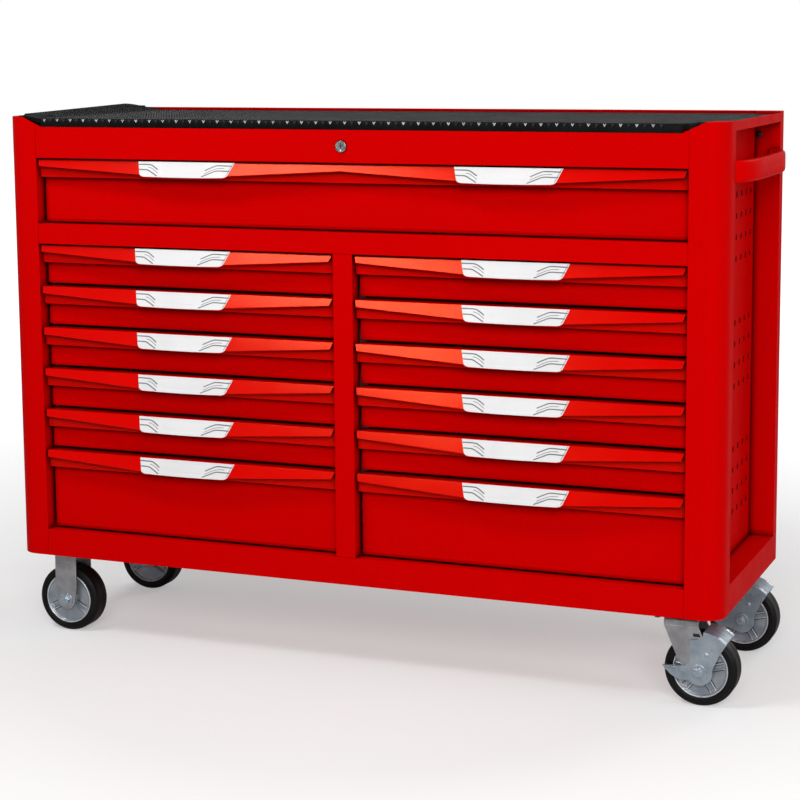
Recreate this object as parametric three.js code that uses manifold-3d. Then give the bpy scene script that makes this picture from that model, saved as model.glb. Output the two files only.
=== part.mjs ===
// Rolling tool chest: a folded sheet-steel cabinet with one full-width drawer over two columns
// of six, a rubber-topped tray, a push handle, a central lock and four 5 inch casters.
// Millimetres, +Z up. The origin is on the floor, under the middle of the whole chest's box.
import * as THREE from 'three';
import { mergeVertices } from 'three/addons/utils/BufferGeometryUtils.js';
import Module from 'manifold-3d';

const wasm = await Module();
wasm.setup();

// ---------------------------------------------------------------- driving dimensions
const WIDTH = 1364;            // body, side to side
const DEPTH = 450;             // body, corner posts' front faces to the back
const HEIGHT = 832;            // body, lower edge to the top of the rims
const BASE = 162;              // floor to the body's lower edge
const SHEET = 1.5;             // folded steel sheet
const GAP = 0.3;               // between pieces that meet

const POST_WIDTH = 64;         // front corner post, seen from the front
const POST_DEPTH = 58;         // front corner post, seen from the side
const POST_RADIUS = 36;        // its rounded outer corner
const RETURN_DEPTH = 30;       // folds that line the drawer openings
const REAR_POST_DEPTH = 27;
const BAY_DEPTH = 46;          // side panels are set back this far between the posts
const CENTRE_WIDTH = 37;       // pillar between the two columns
const RIM_HEIGHT = 15;         // band along the tray's sides
const BACK_RIM_RISE = 3;       // the tray's back rim stands this much higher

const BOTTOM_RAIL = 50.5;      // levels above the body's lower edge
const SHALLOW = 78;            // drawer pitches
const DEEP = 156;
const WIDE = 122;
const MID_RAIL = 37.5;
const HEADER = 57.5;
const SHALLOW_COUNT = 5;       // shallow drawers in a column, over one deep one

const REVEAL = 2.5;            // half the gap between two drawer fronts
const FACE_SETBACK = 24;       // drawer face behind the posts' front plane
const FACE_MARGIN = 5;         // opening edge to drawer face
const BOX_MARGIN = 16;         // opening edge to drawer box
const BOX_BACK = 430;          // drawer box ends this far behind the front plane
const BOX_FLOOR = 8;           // drawer floor above its cell's lower edge
const BOX_TOP_CLEAR = 16;      // drawer walls below its cell's upper edge

const PULL_MARGIN = 2.7;       // opening edge to pull
const PULL_DEPTH = 33.5;       // pull, top to skirt bottom
const SKIRT_FRONT = 10.4;      // skirt's face behind the front plane
const LIP_FRONT = 4.5;         // lip's upper edge behind the front plane
const LIP_SLOPE = 0.6;         // the lip leans out by this share of its height
const LIP_THICK = 3;
const WING_END = 12;           // lip's height at the pull's ends and beside the grip
const WING_ROOT = 24;
const GRIP_WIDTH = 196;        // grip, along its upper edge
const WIDE_GRIP = 306;         // the wide drawer's grips from the middle
const GRIP_HEIGHT = 29;
const LIP_TAPER = 0.38;        // ends of lip and grip lean in by this share of their height
const GRIP_CORNER = 6;
const GRIP_REACH = LIP_SLOPE * GRIP_HEIGHT - LIP_FRONT;

const RAIL_FRONT = 34;         // drawer rails, front end
const RAIL_LENGTH = 396;
const RAIL_HEIGHT = 34;
const RAIL_WIDTH = 13.3;
const RAIL_GAP = 0.7;          // opening edge to the rail's web
const MEMBER_HEIGHT = 22;      // sliding member on the drawer
const MEMBER_WIDTH = 12.3;
const RAIL_LIFT = { shallow: 32, deep: 66, wide: 58 };

const MAT_TOP = 829;
const HANDLE_REACH = 24;       // push handle beyond the body's side
const HANDLE_HEIGHT = 38;
const HANDLE_LEVEL = 748;
const HANDLE_BAR = 18;
const LOCK_LEVEL = 785;

const HOOK_HOLE = 10;          // square hook holes in the side panels
const HOOK_PITCH = 38;
const HOOK_COLUMNS = 9;
const HOOK_TOP = 694;          // highest row
const HOOK_GROUPS = 3;         // groups of rows, with two rows left out between them
const HOOK_ROWS = 4;
const HOOK_GROUP_PITCH = (HOOK_ROWS + 2) * HOOK_PITCH;

const WHEEL_RADIUS = 63.5;     // 5 inch wheel
const TYRE_WIDTH = 45;
const AXLE_RADIUS = 6;
const FIXED_FRONT = 74;
const SWIVEL_FRONT = 60;
const CASTER_REAR = 390;
const FIXED_INSET = 72;        // fixed casters in from the left side
const SWIVEL_INSET = 76;       // swivel axes in from the right side
const TRAIL = 32;              // wheel axle behind the swivel axis
const FORK_INNER = 26;
const FORK_PLATE = 3;

// ---------------------------------------------------------------- derived levels
const HALF = WIDTH / 2;
const OPENING = HALF - POST_WIDTH;
const COLUMN_TOP = BOTTOM_RAIL + DEEP + SHALLOW_COUNT * SHALLOW;
const WIDE_BOTTOM = COLUMN_TOP + MID_RAIL;
const HEADER_BOTTOM = WIDE_BOTTOM + WIDE;
const HEADER_TOP = HEADER_BOTTOM + HEADER;
const TRAY_FLOOR = HEIGHT - RIM_HEIGHT;
const BAY_FACE = HALF - BAY_DEPTH;
const REAR_POST_FRONT = DEPTH - REAR_POST_DEPTH;
const COLUMN_WIDTH = OPENING - CENTRE_WIDTH / 2;
const COLUMN_CENTRE = CENTRE_WIDTH / 2 + COLUMN_WIDTH / 2;

// ---------------------------------------------------------------- materials
function finish(color, roughness, metalness) {
  return () => new THREE.MeshStandardMaterial({ color, roughness, metalness });
}
const red = finish(0xc40404, 0.25, 0.0);
const darkSteel = finish(0x3c3e42, 0.45, 0.8);
const zinc = finish(0xb9bcc0, 0.35, 0.9);
const chrome = finish(0xd8dadd, 0.15, 1.0);
const rubber = finish(0x1c1c1e, 0.75, 0.0);
const handleRed = finish(0xb80303, 0.4, 0.0);

// ---------------------------------------------------------------- shape helpers
function box(x0, x1, y0, y1, z0, z1) {
  const geometry = new THREE.BoxGeometry(x1 - x0, y1 - y0, z1 - z0);
  return geometry.translate((x0 + x1) / 2, (y0 + y1) / 2, (z0 + z1) / 2);
}

const ARC_STEPS = 6;

function extrude(shape, depth, curveSegments = ARC_STEPS) {
  return new THREE.ExtrudeGeometry(shape, { depth, bevelEnabled: false, curveSegments });
}

function outline(points) {
  return new THREE.Shape(points.map(([a, b]) => new THREE.Vector2(a, b)));
}

// A plan outline (x, y) raised from z0 to z1.
function prismZ(shape, z0, z1) {
  return extrude(shape, z1 - z0).translate(0, 0, z0);
}

// A front outline (x, z) run from y0 back to y1.
function prismY(shape, y0, y1) {
  return extrude(shape, y1 - y0).rotateX(Math.PI / 2).translate(0, y1, 0);
}

// A side outline (y, z) run from x0 to x1.
function prismX(shape, x0, x1) {
  const along = new THREE.Matrix4().makeBasis(
    new THREE.Vector3(0, 1, 0),
    new THREE.Vector3(0, 0, 1),
    new THREE.Vector3(1, 0, 0),
  );
  return extrude(shape, x1 - x0).applyMatrix4(along).translate(x0, 0, 0);
}

function rodY(radius, y0, y1, sides, turn = 0) {
  const geometry = new THREE.CylinderGeometry(radius, radius, y1 - y0, sides);
  return geometry.rotateY(turn).translate(0, (y0 + y1) / 2, 0);
}

function discZ(radius, z0, z1, sides) {
  const geometry = new THREE.CylinderGeometry(radius, radius, z1 - z0, sides);
  return geometry.rotateX(Math.PI / 2).translate(0, 0, (z0 + z1) / 2);
}

function solid(geometry) {
  const bare = geometry.index ? geometry.toNonIndexed() : geometry.clone();
  bare.deleteAttribute('normal');
  bare.deleteAttribute('uv');
  const merged = mergeVertices(bare, 1e-4);
  return new wasm.Manifold(new wasm.Mesh({
    numProp: 3,
    vertProperties: new Float32Array(merged.attributes.position.array),
    triVerts: new Uint32Array(merged.index.array),
  }));
}

function geometryOf(manifold) {
  const mesh = manifold.getMesh();
  const geometry = new THREE.BufferGeometry();
  geometry.setAttribute('position', new THREE.BufferAttribute(mesh.vertProperties, 3));
  geometry.setIndex(new THREE.BufferAttribute(mesh.triVerts, 1));
  return geometry;
}

function joined(geometries) {
  return geometries.map(solid).reduce((whole, piece) => whole.add(piece));
}

function union(...geometries) {
  return geometryOf(joined(geometries));
}

function cut(base, ...tools) {
  return geometryOf(joined([base]).subtract(joined(tools)));
}

function mirrored(points, side) {
  const flipped = points.map(([x, y]) => [x * side, y]);
  return side < 0 ? flipped.reverse() : flipped;
}

// A closed outline drawn in by a wall's thickness, corner by corner.
function inset(points, wall) {
  const count = points.length;
  return points.map((point, i) => {
    const before = points[(i + count - 1) % count];
    const after = points[(i + 1) % count];
    const a = new THREE.Vector2(point[0] - before[0], point[1] - before[1]).normalize();
    const b = new THREE.Vector2(after[0] - point[0], after[1] - point[1]).normalize();
    const normal = new THREE.Vector2(-a.y - b.y, a.x + b.x);
    const scale = (2 * wall) / normal.lengthSq();
    return [point[0] + normal.x * scale, point[1] + normal.y * scale];
  });
}

const chest = new THREE.Group();
const body = new THREE.Group();
body.position.z = BASE;
chest.add(body);

function part(parent, name, geometry, material, x = 0, y = 0, z = 0) {
  const mesh = new THREE.Mesh(geometry, material());
  mesh.name = name;
  mesh.position.set(x, y, z);
  parent.add(mesh);
  return mesh;
}

// ---------------------------------------------------------------- corner posts
const SLOPE_OUTER = HALF - 36;   // the post tops slope down to the header between these
const SLOPE_INNER = HALF - 76;
const SLOPE_RISE = HEIGHT - HEADER_TOP;

function slopeLevel(x) {
  return HEADER_TOP + (SLOPE_RISE * (x - SLOPE_INNER)) / (SLOPE_OUTER - SLOPE_INNER);
}

// What is under the sloping top, as a front outline run through the post.
function underSlope(side, drop, z0) {
  const points = [
    [OPENING - 10, z0],
    [HALF + 10, z0],
    [HALF + 10, HEIGHT - drop],
    [SLOPE_OUTER, HEIGHT - drop],
    [OPENING - 10, slopeLevel(OPENING - 10) - drop],
  ];
  return prismY(outline(mirrored(points, side)), -10, POST_DEPTH + 10);
}

function frontPost(side) {
  const corner = [];
  const steps = 8;
  for (let i = 0; i <= steps; i += 1) {
    const angle = (Math.PI / 2) * (i / steps);
    corner.push([
      HALF - POST_RADIUS * (1 - Math.sin(angle)),
      POST_RADIUS * (1 - Math.cos(angle)),
    ]);
  }
  const plan = [
    [OPENING, 0],
    ...corner,
    [HALF, POST_DEPTH],
    [BAY_FACE + GAP, POST_DEPTH],
    [BAY_FACE + GAP, RETURN_DEPTH],
    [OPENING, RETURN_DEPTH],
  ];
  const outer = prismZ(outline(mirrored(plan, side)), 0, HEIGHT);
  const inner = prismZ(outline(mirrored(inset(plan, SHEET), side)), -10, HEIGHT);
  const shell = solid(outer).intersect(solid(underSlope(side, 0, -10)));
  const hollow = solid(inner).intersect(solid(underSlope(side, SHEET, -20)));
  return geometryOf(shell.subtract(hollow));
}

function rearPost(side) {
  const plan = [
    [BAY_FACE + GAP, REAR_POST_FRONT],
    [HALF, REAR_POST_FRONT],
    [HALF, DEPTH],
    [BAY_FACE + GAP, DEPTH],
  ];
  const top = HEIGHT + BACK_RIM_RISE;
  const outer = prismZ(outline(mirrored(plan, side)), 0, top);
  const inner = prismZ(outline(mirrored(inset(plan, SHEET), side)), -10, top - SHEET);
  return cut(outer, inner);
}

const SIDES = [['left', -1], ['right', 1]];
for (const [name, side] of SIDES) {
  part(body, `corner_post_front_${name}`, frontPost(side), red);
  part(body, `corner_post_rear_${name}`, rearPost(side), red);
}

// ---------------------------------------------------------------- panels
const PANEL_TOP = TRAY_FLOOR - SHEET - GAP;
const PANEL_BOTTOM = SHEET + GAP;
const PANEL_FRONT = RETURN_DEPTH + GAP + 2;

function sidePanel(side) {
  const [x0, x1] = [side * BAY_FACE, side * (BAY_FACE - SHEET)].sort((a, b) => a - b);
  const sheet = box(x0, x1, PANEL_FRONT, DEPTH - SHEET - GAP, PANEL_BOTTOM, PANEL_TOP);
  const middle = (POST_DEPTH + REAR_POST_FRONT) / 2;
  const half = HOOK_HOLE / 2;
  const holes = [];
  for (let group = 0; group < HOOK_GROUPS; group += 1) {
    for (let row = 0; row < HOOK_ROWS; row += 1) {
      const z = HOOK_TOP - group * HOOK_GROUP_PITCH - row * HOOK_PITCH;
      for (let column = 0; column < HOOK_COLUMNS; column += 1) {
        const y = middle + (column - (HOOK_COLUMNS - 1) / 2) * HOOK_PITCH;
        holes.push(box(x0 - 1, x1 + 1, y - half, y + half, z - half, z + half));
      }
    }
  }
  return cut(sheet, ...holes);
}

for (const [name, side] of SIDES) {
  part(body, `side_panel_${name}`, sidePanel(side), red);
}

const backHalf = BAY_FACE;
const backPanel = box(-backHalf, backHalf, DEPTH - SHEET, DEPTH, PANEL_BOTTOM, PANEL_TOP);
part(body, 'back_panel', backPanel, red);

const DIVIDER_TOP = COLUMN_TOP;
const dividerHalf = SHEET / 2;
const divider = box(-dividerHalf, dividerHalf, PANEL_FRONT, DEPTH - SHEET - GAP, PANEL_BOTTOM, DIVIDER_TOP);
part(body, 'divider_panel', divider, red);

// ---------------------------------------------------------------- front rails and base
const RAIL_FLANGE = 22;

// A channel that opens to the back, between two levels.
function channel(z0, z1) {
  return outline([
    [0, z0],
    [RAIL_FLANGE, z0],
    [RAIL_FLANGE, z0 + SHEET],
    [SHEET, z0 + SHEET],
    [SHEET, z1 - SHEET],
    [RAIL_FLANGE, z1 - SHEET],
    [RAIL_FLANGE, z1],
    [0, z1],
  ]);
}

const railEnd = OPENING - GAP;
const LOCK_RADIUS = 11;

function headerRail() {
  const rail = prismX(channel(HEADER_BOTTOM, HEADER_TOP), -railEnd, railEnd);
  const gussets = SIDES.map(([, side]) => {
    const points = [
      [SLOPE_INNER, HEADER_TOP - SHEET],
      [railEnd, HEADER_TOP - SHEET],
      [railEnd, slopeLevel(railEnd)],
      [SLOPE_INNER, HEADER_TOP],
    ];
    return prismY(outline(mirrored(points, side)), 0, SHEET);
  });
  const lockHole = rodY(LOCK_RADIUS, -5, 5, 16).translate(0, 0, LOCK_LEVEL);
  return geometryOf(joined([rail, ...gussets]).subtract(solid(lockHole)));
}

part(body, 'header_rail', headerRail(), red);
part(body, 'mid_rail', prismX(channel(COLUMN_TOP, WIDE_BOTTOM), -railEnd, railEnd), red);

const centreHalf = CENTRE_WIDTH / 2;
const centrePlan = outline([
  [-centreHalf, 0],
  [centreHalf, 0],
  [centreHalf, RETURN_DEPTH],
  [centreHalf - SHEET, RETURN_DEPTH],
  [centreHalf - SHEET, SHEET],
  [-centreHalf + SHEET, SHEET],
  [-centreHalf + SHEET, RETURN_DEPTH],
  [-centreHalf, RETURN_DEPTH],
]);
part(body, 'centre_pillar', prismZ(centrePlan, BOTTOM_RAIL + GAP, COLUMN_TOP - GAP), red);

const BAY_FRONT = POST_DEPTH + GAP;
const BAY_REAR = REAR_POST_FRONT - GAP;
const NOTCH_FRONT = RETURN_DEPTH + GAP;
const LEDGE = 49;

// A plan that fills the body between the four corner posts.
function betweenPosts(reach, front, back) {
  return [
    [-railEnd, front],
    [railEnd, front],
    [railEnd, NOTCH_FRONT],
    [BAY_FACE, NOTCH_FRONT],
    [BAY_FACE, BAY_FRONT],
    [reach, BAY_FRONT],
    [reach, BAY_REAR],
    [BAY_FACE, BAY_REAR],
    [BAY_FACE, back],
    [-BAY_FACE, back],
    [-BAY_FACE, BAY_REAR],
    [-reach, BAY_REAR],
    [-reach, BAY_FRONT],
    [-BAY_FACE, BAY_FRONT],
    [-BAY_FACE, NOTCH_FRONT],
    [-railEnd, NOTCH_FRONT],
  ];
}

function basePan() {
  const floor = prismZ(outline(betweenPosts(HALF, 0, DEPTH - SHEET - GAP)), 0, SHEET);
  const frontRail = prismX(channel(0, BOTTOM_RAIL), -railEnd, railEnd);
  const ledges = SIDES.map(([, side]) => {
    const points = [
      [HALF, 0],
      [HALF, LEDGE],
      [BAY_FACE + GAP, LEDGE],
      [BAY_FACE + GAP, LEDGE - SHEET],
      [HALF - SHEET, LEDGE - SHEET],
      [HALF - SHEET, 0],
    ];
    return prismY(outline(mirrored(points, side)), BAY_FRONT, BAY_REAR);
  });
  return union(floor, frontRail, ...ledges);
}

part(body, 'base_pan', basePan(), red);

// ---------------------------------------------------------------- top tray and mat
const TRAY_FRONT = 4;

function topTray() {
  const floor = prismZ(outline(betweenPosts(HALF, TRAY_FRONT, DEPTH)), TRAY_FLOOR - SHEET, TRAY_FLOOR);
  const bands = SIDES.map(([, side]) => {
    const [x0, x1] = [side * HALF, side * (HALF - SHEET)].sort((a, b) => a - b);
    return box(x0, x1, BAY_FRONT, BAY_REAR, TRAY_FLOOR - SHEET, HEIGHT);
  });
  const backRim = box(-BAY_FACE, BAY_FACE, DEPTH - SHEET, DEPTH, TRAY_FLOOR - SHEET, HEIGHT + BACK_RIM_RISE);
  return union(floor, backRim, ...bands);
}

part(body, 'top_tray', topTray(), red);

const LAP_WIDTH = 100;           // the mat's left edge laps over the rim and rises to the back
const LAP_RISE = 9;

// The lap over the left rim: its top rises to the back-left corner and dies out to the right.
function matLap(clear) {
  const low = MAT_TOP - 3;
  const left = -HALF + clear;
  const cover = new THREE.BoxGeometry(LAP_WIDTH, DEPTH - BAY_FRONT - GAP - clear, 10, 8, 8, 1);
  cover.translate(left + LAP_WIDTH / 2, (BAY_FRONT + GAP + DEPTH - clear) / 2, 0);
  const spots = cover.attributes.position;
  for (let i = 0; i < spots.count; i += 1) {
    const fade = 1 - (spots.getX(i) - left) / LAP_WIDTH;
    const back = (spots.getY(i) - BAY_FRONT) / (DEPTH - BAY_FRONT);
    const top = MAT_TOP + 0.2 + (HEIGHT + 1 - MAT_TOP + LAP_RISE * back) * fade ** 2 * (3 - 2 * fade);
    spots.setZ(i, spots.getZ(i) > 0 ? top : low);
  }
  const under = HEIGHT + BACK_RIM_RISE + GAP;
  const edge = prismY(outline([
    [-HALF, HEIGHT + GAP],
    [left + 1, HEIGHT + GAP],
    [left + 1, HEIGHT + 2],
    [-HALF, HEIGHT + 2],
  ]), BAY_FRONT + GAP, BAY_REAR - GAP);
  const corner = box(-HALF, -BAY_FACE - 1, BAY_REAR - 8, DEPTH - clear, under, HEIGHT + LAP_RISE);
  const post = box(-HALF - 1, -BAY_FACE, BAY_REAR, DEPTH + 1, 0, under);
  return { over: [cover, edge, corner], post };
}

function topMat() {
  const clear = SHEET + 2 * GAP;
  const under = TRAY_FLOOR + GAP;
  const front = box(-railEnd + GAP, railEnd - GAP, TRAY_FRONT, BAY_FRONT + 5, under, MAT_TOP);
  const notch = box(-BAY_FACE + GAP, BAY_FACE - GAP, NOTCH_FRONT + GAP, BAY_FRONT + 5, under, MAT_TOP);
  const lipEnd = SLOPE_INNER - GAP;
  const frontLip = box(-lipEnd, lipEnd, 0.5, TRAY_FRONT - GAP, HEADER_TOP + GAP, MAT_TOP);
  const lipRoot = box(-lipEnd, lipEnd, 0.5, TRAY_FRONT + 5, under, MAT_TOP);
  const middle = box(-HALF + clear, HALF - clear, BAY_FRONT + GAP, BAY_REAR - GAP, under, MAT_TOP);
  const back = box(-BAY_FACE + GAP, BAY_FACE - GAP, BAY_REAR - 5, DEPTH - clear, under, MAT_TOP);
  const { over, post } = matLap(clear);
  return geometryOf(joined([front, notch, frontLip, lipRoot, middle, back, ...over]).subtract(solid(post)));
}

part(body, 'top_mat', topMat(), rubber);

// ---------------------------------------------------------------- push handle
function pushHandle() {
  const y0 = BAY_FRONT;
  const y1 = BAY_REAR;
  const turn = 110;              // each end curves out to the straight grip over this length
  const lead = 12;
  const footOuter = HALF - 6;
  const footInner = footOuter - HANDLE_BAR - 4;
  const outer = HALF + HANDLE_REACH;
  const inner = outer - HANDLE_BAR;
  const plan = new THREE.Shape();
  plan.moveTo(footInner, y0);
  plan.lineTo(footOuter, y0);
  plan.quadraticCurveTo(outer, y0 + lead, outer, y0 + turn);
  plan.lineTo(outer, y1 - turn);
  plan.quadraticCurveTo(outer, y1 - lead, footOuter, y1);
  plan.lineTo(footInner, y1);
  plan.quadraticCurveTo(inner, y1 - lead, inner, y1 - turn);
  plan.lineTo(inner, y0 + turn);
  plan.quadraticCurveTo(inner, y0 + lead, footInner, y0);
  const half = HANDLE_HEIGHT / 2;
  const bar = new THREE.ExtrudeGeometry(plan, {
    depth: HANDLE_HEIGHT,
    bevelEnabled: false,
    curveSegments: 14,
  });
  return bar.translate(0, 0, HANDLE_LEVEL - half);
}

part(body, 'push_handle', pushHandle(), handleRed);

// ---------------------------------------------------------------- lock
const LOCK_DEPTH = 30;
const lockClear = LOCK_RADIUS - GAP;
const lockFace = rodY(lockClear, -3, LOCK_DEPTH, 16);
const lockCam = box(-4, 4, LOCK_DEPTH - 1, LOCK_DEPTH + 2.5, -22, 4);
part(body, 'lock_cylinder', union(lockFace, lockCam), chrome, 0, 0, LOCK_LEVEL);

const ROD_Y = 34;
const lockRod = box(14, 612, ROD_Y, ROD_Y + 4, LOCK_LEVEL - 2, LOCK_LEVEL + 8);
part(body, 'lock_rod', lockRod, darkSteel);

const lockBar = box(OPENING + 8, OPENING + 11, ROD_Y + 2, ROD_Y + 16, 60, LOCK_LEVEL - 13);
part(body, 'lock_bar', lockBar, darkSteel);

// ---------------------------------------------------------------- drawer cells
function columnCells() {
  const cells = [{ kind: 'deep', z: BOTTOM_RAIL, height: DEEP }];
  for (let i = 0; i < SHALLOW_COUNT; i += 1) {
    cells.push({ kind: 'shallow', z: BOTTOM_RAIL + DEEP + i * SHALLOW, height: SHALLOW });
  }
  return cells.reverse();
}
const CELLS = columnCells();
const WIDE_CELL = { kind: 'wide', z: WIDE_BOTTOM, height: WIDE };

// ---------------------------------------------------------------- runner banks
// A rail's channel, opening away from `side`; u is the opening's edge.
function railSection(u, side, z) {
  const web = u - side * RAIL_GAP;
  const mouth = web - side * RAIL_WIDTH;
  const half = RAIL_HEIGHT / 2;
  const inner = web - side * SHEET;
  const points = [
    [mouth, z - half],
    [web, z - half],
    [web, z + half],
    [mouth, z + half],
    [mouth, z + half - SHEET],
    [inner, z + half - SHEET],
    [inner, z - half + SHEET],
    [mouth, z - half + SHEET],
  ];
  return prismY(outline(side < 0 ? points.reverse() : points), RAIL_FRONT, RAIL_FRONT + RAIL_LENGTH);
}

// Hanger strips carry every rail of one bank; wall is the panel they stand on.
function runnerBank(u, side, wall, cells) {
  const rails = cells.map((cell) => railSection(u, side, cell.z + RAIL_LIFT[cell.kind]));
  const levels = cells.map((cell) => cell.z + RAIL_LIFT[cell.kind]);
  const low = Math.min(...levels) - RAIL_HEIGHT / 2;
  const high = Math.max(...levels) + RAIL_HEIGHT / 2;
  const [x0, x1] = [wall - side * GAP, u - side * (RAIL_GAP + SHEET / 2)].sort((a, b) => a - b);
  const hangers = [70, 380].map((y) => box(x0, x1, y, y + 20, low, high));
  return union(...rails, ...hangers);
}

const outerWall = BAY_FACE - SHEET;
for (const [name, side] of SIDES) {
  const outer = runnerBank(side * OPENING, side, side * outerWall, [WIDE_CELL, ...CELLS]);
  part(body, `runner_bank_${name}`, outer, zinc);
  const inner = runnerBank(side * centreHalf, -side, side * dividerHalf, CELLS);
  part(body, `runner_bank_centre_${name}`, inner, zinc);
}

// ---------------------------------------------------------------- drawers
// x is the opening's middle, y the posts' front plane, z the cell's lower edge.
function drawerBox(opening, height, lift) {
  const faceHalf = opening / 2 - FACE_MARGIN;
  const boxHalf = opening / 2 - BOX_MARGIN;
  const top = height - BOX_TOP_CLEAR;
  const faceBack = FACE_SETBACK + SHEET;
  const hem = 12;
  const low = REVEAL;
  const high = height - REVEAL;
  const face = box(-faceHalf, faceHalf, FACE_SETBACK, faceBack, low, high);
  const lowerHem = box(-faceHalf, faceHalf, FACE_SETBACK, FACE_SETBACK + hem, low, low + SHEET);
  const upperHem = box(-faceHalf, faceHalf, FACE_SETBACK, FACE_SETBACK + hem, high - SHEET, high);
  const outer = box(-boxHalf, boxHalf, faceBack - 0.5, BOX_BACK, BOX_FLOOR, top);
  const reach = boxHalf + MEMBER_WIDTH;
  const half = MEMBER_HEIGHT / 2;
  const members = box(-reach, reach, RAIL_FRONT, BOX_BACK, lift - half, lift + half);
  const inside = box(-boxHalf + SHEET, boxHalf - SHEET, faceBack, BOX_BACK - SHEET, BOX_FLOOR + SHEET, height);
  const openBox = joined([outer, members]).subtract(solid(inside));
  return geometryOf(openBox.add(joined([face, lowerHem, upperHem])));
}

// The lip's lower edge from left to right, and down round each grip; heights count down from the top.
function lipOutline(half, grips) {
  const points = [[half, 0], [-half, 0], [-half + LIP_TAPER * WING_END, -WING_END]];
  const lean = LIP_TAPER * WING_ROOT;
  const lowLean = LIP_TAPER * GRIP_HEIGHT + GRIP_CORNER;
  grips.forEach((x, i) => {
    if (i > 0) {
      points.push([0, -WING_END]);
    }
    const edge = GRIP_WIDTH / 2;
    points.push(
      [x - edge + lean, -WING_ROOT],
      [x - edge + lowLean, -GRIP_HEIGHT],
      [x + edge - lowLean, -GRIP_HEIGHT],
      [x + edge - lean, -WING_ROOT],
    );
  });
  points.push([half - LIP_TAPER * WING_END, -WING_END]);
  return outline(points);
}

// A full-width pull: a skirt behind a thin lip that leans out and reaches down to each grip.
function drawerPull(opening, height, grips) {
  const half = opening / 2 - PULL_MARGIN;
  const back = FACE_SETBACK - GAP;
  const skirt = box(-half, half, SKIRT_FRONT, back, -PULL_DEPTH, 0);
  const bridge = box(-half, half, LIP_FRONT + 0.5, SKIRT_FRONT + 1, -LIP_THICK, 0);
  const lean = new THREE.Matrix4().makeShear(0, 0, 0, 0, 0, LIP_SLOPE);
  const lip = prismY(lipOutline(half, grips), 0, LIP_THICK).applyMatrix4(lean);
  lip.translate(0, LIP_FRONT, 0);
  return union(skirt, bridge, lip).translate(0, 0, height - REVEAL);
}

function addDrawer(name, opening, cell, grips, x) {
  const lift = RAIL_LIFT[cell.kind];
  part(body, `drawer_${name}`, drawerBox(opening, cell.height, lift), red, x, 0, cell.z);
  part(body, `pull_${name}`, drawerPull(opening, cell.height, grips), red, x, 0, cell.z);
}

addDrawer('wide', 2 * OPENING, WIDE_CELL, [-WIDE_GRIP, WIDE_GRIP], 0);
for (const [name, side] of SIDES) {
  CELLS.forEach((cell, i) => {
    addDrawer(`${name}_${i + 1}`, COLUMN_WIDTH, cell, [0], side * COLUMN_CENTRE);
  });
}

// ---------------------------------------------------------------- casters
const PLATE_TOP = BASE - GAP;
const PLATE_THICK = 3;
const PLATE_HALF_X = 50;
const PLATE_HALF_Y = 42;
const plateUnder = PLATE_TOP - PLATE_THICK;
const forkOuter = FORK_INNER + FORK_PLATE;

function mountingPlate() {
  return box(-PLATE_HALF_X, PLATE_HALF_X, -PLATE_HALF_Y, PLATE_HALF_Y, plateUnder, PLATE_TOP);
}

// Axle with a hexagonal head at each end; the lever, where there is one, turns under the heads.
function axle(x) {
  const reach = forkOuter + 4;
  const shank = rodY(AXLE_RADIUS, -reach, reach, 12);
  const heads = [-1, 1].map((end) => {
    const [y0, y1] = [end * reach, end * (reach + 6)].sort((a, b) => a - b);
    return rodY(10, y0, y1, 6);
  });
  return [shank, ...heads].map((piece) => piece.translate(x, 0, WHEEL_RADIUS));
}

// Two fork legs: top edge from x0 to x1, tapering to a round end about the axle.
function forkLegs(x0, x1, top, axleX, endRadius) {
  const leg = new THREE.Shape();
  leg.moveTo(x1, top);
  leg.lineTo(x0, top);
  leg.lineTo(axleX - endRadius, WHEEL_RADIUS);
  leg.absarc(axleX, WHEEL_RADIUS, endRadius, Math.PI, 2 * Math.PI, false);
  leg.lineTo(x1, top);
  return [-1, 1].map((end) => {
    const [y0, y1] = [end * FORK_INNER, end * forkOuter].sort((a, b) => a - b);
    return prismY(leg, y0, y1);
  });
}

function wheel() {
  const half = TYRE_WIDTH / 2;
  const profile = [
    [AXLE_RADIUS + 0.6, -half + 0.5],
    [22, -half + 0.5],
    [44, -half + 7],
    [50, -half + 1],
    [58, -half],
    [WHEEL_RADIUS, -half + 7],
    [WHEEL_RADIUS, half - 7],
    [58, half],
    [50, half - 1],
    [44, half - 7],
    [22, half - 0.5],
    [AXLE_RADIUS + 0.6, half - 0.5],
  ];
  const points = [...profile, profile[0]].map(([r, y]) => new THREE.Vector2(r, y));
  const turned = new THREE.LatheGeometry(points, 20);
  return geometryOf(solid(turned));
}

const WEB_THICK = 6;

function fixedFork() {
  const top = plateUnder + 1;
  const web = box(-23, 23, -forkOuter, forkOuter, plateUnder - WEB_THICK, top);
  return union(mountingPlate(), web, ...forkLegs(-23, 23, top, 0, 18), ...axle(0));
}

const RACE_RADIUS = 31;
const RACE_UNDER = plateUnder - 6;
const SWIVEL_TOP = RACE_UNDER - GAP;

function swivelPlate() {
  return union(mountingPlate(), discZ(RACE_RADIUS, RACE_UNDER, plateUnder + 1, 20));
}

function swivelFork() {
  const crown = discZ(RACE_RADIUS, SWIVEL_TOP - WEB_THICK, SWIVEL_TOP, 20);
  const web = box(-30, 30, -forkOuter, forkOuter, SWIVEL_TOP - WEB_THICK, SWIVEL_TOP);
  return union(crown, web, ...forkLegs(-30, 30, SWIVEL_TOP, TRAIL, 17), ...axle(TRAIL));
}

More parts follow.
